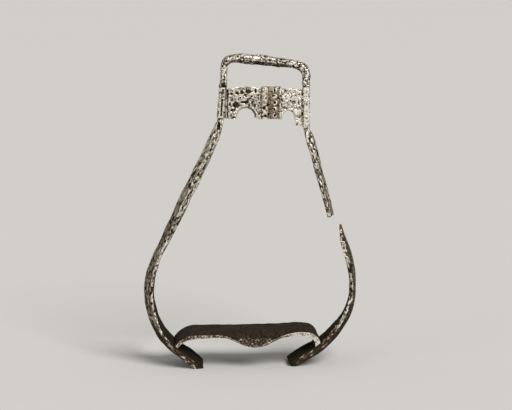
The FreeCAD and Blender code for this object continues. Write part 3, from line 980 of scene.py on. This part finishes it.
class STIRRUP_OT_lower_arm(bpy.types.Operator):
    """Forge the lower part of the right arm, below its break"""

    bl_idname = "stirrup.lower_arm"
    bl_label = "Lower Right Arm"
    bl_options = {"REGISTER", "UNDO"}

    def execute(self, context):
        look = context.scene.stirrup.lower_arm
        piece = skin("right_arm_lower", "lower_arm_forging", look)
        corrode(piece, look, "right_arm_lower", neighbours=("tread_plate",), drawn_out=True)
        paint(piece, forged_material("broken_arm_iron", look, BROKEN_TIP_RUST))
        seat(piece, "forged_iron", "right_arm_lower")
        return {"FINISHED"}


class STIRRUP_OT_tread(bpy.types.Operator):
    """Forge the tread with its hatched front lobe"""

    bl_idname = "stirrup.tread"
    bl_label = "Tread"
    bl_options = {"REGISTER", "UNDO"}

    def execute(self, context):
        look = context.scene.stirrup.tread
        piece = skin("tread_plate", "tread_sheet", look)
        corrode(piece, look, "tread_plate", neighbours=("bow", "right_arm_lower"))
        hatch(piece, look)
        paint(piece, tread_material(look))
        seat(piece, "tread_iron", "tread_plate")
        return {"FINISHED"}


class STIRRUP_OT_cover(bpy.types.Operator):
    """Make the two sheets of the cover under the loop"""

    bl_idname = "stirrup.cover"
    bl_label = "Cover Sheets"
    bl_options = {"REGISTER", "UNDO"}

    def execute(self, context):
        look = context.scene.stirrup.cover
        material = cover_material(look)
        for node, name, spots, seams in (
                ("front_cover_plate", "front_cover_sheet", COVER_DENTS, COVER_SEAMS),
                ("back_cover_plate", "back_cover_sheet", (), ())):
            piece = skin(node, name, look)
            corrode(piece, look, node, spots, seams, ("centre_band",))
            paint(piece, material)
            seat(piece, "sheet_iron", node)
        return {"FINISHED"}


class STIRRUP_OT_band(bpy.types.Operator):
    """Make the moulded band across the cover"""

    bl_idname = "stirrup.band"
    bl_label = "Moulded Band"
    bl_options = {"REGISTER", "UNDO"}

    def execute(self, context):
        look = context.scene.stirrup.band
        piece = skin("centre_band", "moulded_band", look)
        corrode(piece, look, "centre_band", BAND_DENTS)
        paint(piece, band_material(look))
        seat(piece, "band_iron", "centre_band")
        return {"FINISHED"}


# Studio

CAMERA_PLACE = Vector((-37.6, -774.3, 212.8)) * MM
CAMERA_TARGET = Vector((3.0, 0.0, 90.0)) * MM
CAMERA_LENS = 100.0
NEAREST_SEEN = 0.01
FARTHEST_SEEN = 60.0

# The floor lies a little under the feet, and fills the picture.
FLOOR_RADIUS = 40.0
FLOOR_SIDES = 96
FLOOR_DROP = 0.05 * MM
FLOOR_ROUGHNESS = 0.9
FLOOR_SHEEN = 0.1

# Where the lights stand, what they aim at, and their tints
OBJECT_MIDDLE = Vector((0.0, 0.0, 0.085))
KEY_PLACE = (0.55, -0.85, 1.10)
KEY_TINT = (1.0, 0.98, 0.95)
FILL_PLACE = (-1.0, -0.7, 0.6)
FILL_TINT = (0.97, 0.98, 1.0)

# Tint of the air, and how much paler it is where the camera sees it
AIR_TINT = (1.0, 0.99, 0.97)
SEEN_AIR = 0.27


def aim(thing, target):
    thing.rotation_mode = "QUATERNION"
    thing.rotation_quaternion = (target - thing.location).to_track_quat("-Z", "Y")


def soft_light(name, place, strength, spread, tint):
    """Light that is as strong everywhere and comes from one side."""
    bpy.ops.object.light_add(type="SUN", location=place)
    light = bpy.context.active_object
    light.name = name
    light.data.energy = strength
    light.data.angle = spread
    light.data.color = tint
    aim(light, OBJECT_MIDDLE)


def floor_material(look):
    material = bpy.data.materials.new("pale_floor")
    material.use_nodes = True
    surface = material.node_tree.nodes["Principled BSDF"]
    surface.inputs["Base Color"].default_value = solid(look.floor)
    surface.inputs["Roughness"].default_value = FLOOR_ROUGHNESS
    surface.inputs["Specular IOR Level"].default_value = FLOOR_SHEEN
    return material


def pale_floor(look):
    bpy.ops.mesh.primitive_circle_add(
        vertices=FLOOR_SIDES, radius=FLOOR_RADIUS, fill_type="NGON",
        location=(0, 0, -FLOOR_DROP))
    floor = bpy.context.active_object
    floor.name = "floor"
    paint(floor, floor_material(look))


def plain_world(look):
    """Pale air that also lights the shadows."""
    world = bpy.data.worlds.new("studio_air")
    bpy.context.scene.world = world
    world.use_nodes = True
    world.node_tree.nodes.clear()
    shader = Shader(world.node_tree)
    seen = shader.add("LightPath").outputs["Is Camera Ray"]
    strength = shader.math("MULTIPLY_ADD", seen, SEEN_AIR, look.air)
    air = shader.add("Background", {"Color": solid(AIR_TINT), "Strength": strength})
    shader.give(shader.add("OutputWorld").inputs["Surface"], air.outputs[0])


def photo_camera(scene):
    """Camera at the photograph's viewing angle."""
    bpy.ops.object.camera_add(location=CAMERA_PLACE)
    camera = bpy.context.active_object
    camera.data.lens = CAMERA_LENS
    camera.data.clip_start = NEAREST_SEEN
    camera.data.clip_end = FARTHEST_SEEN
    aim(camera, CAMERA_TARGET)
    scene.camera = camera


class STIRRUP_OT_stage(bpy.types.Operator):
    """Set the floor, the lights and the camera"""

    bl_idname = "stirrup.stage"
    bl_label = "Stage"
    bl_options = {"REGISTER", "UNDO"}

    def execute(self, context):
        look = context.scene.stirrup.studio
        pale_floor(look)
        soft_light("key", KEY_PLACE, look.key, look.spread, KEY_TINT)
        soft_light("fill", FILL_PLACE, look.fill, look.spread, FILL_TINT)
        plain_world(look)
        photo_camera(context.scene)
        context.scene.view_settings.view_transform = "Standard"
        return {"FINISHED"}


class STIRRUP_PT_panel(bpy.types.Panel):
    """Lists the pieces and the stage"""

    bl_label = "Stirrup"
    bl_idname = "STIRRUP_PT_panel"
    bl_space_type = "VIEW_3D"
    bl_region_type = "UI"
    bl_category = "Stirrup"

    def draw(self, context):
        for operator in OPERATORS:
            self.layout.operator(operator.bl_idname)


LOOKS = (BowLook, LowerArmLook, TreadLook, CoverLook, BandLook, StudioLook, StirrupLook)
OPERATORS = (
    STIRRUP_OT_bow, STIRRUP_OT_lower_arm, STIRRUP_OT_tread, STIRRUP_OT_cover,
    STIRRUP_OT_band, STIRRUP_OT_stage)


def register():
    for look in LOOKS:
        bpy.utils.register_class(look)
    bpy.types.Scene.stirrup = PointerProperty(type=StirrupLook)
    for operator in OPERATORS:
        bpy.utils.register_class(operator)
    bpy.utils.register_class(STIRRUP_PT_panel)


def unregister():
    bpy.utils.unregister_class(STIRRUP_PT_panel)
    for operator in reversed(OPERATORS):
        bpy.utils.unregister_class(operator)
    del bpy.types.Scene.stirrup
    for look in reversed(LOOKS):
        bpy.utils.unregister_class(look)


def main():
    register()
    bpy.ops.stirrup.bow()
    bpy.ops.stirrup.lower_arm()
    bpy.ops.stirrup.tread()
    bpy.ops.stirrup.cover()
    bpy.ops.stirrup.band()
    bpy.ops.stirrup.stage()


if __name__ == "__main__":
    main()
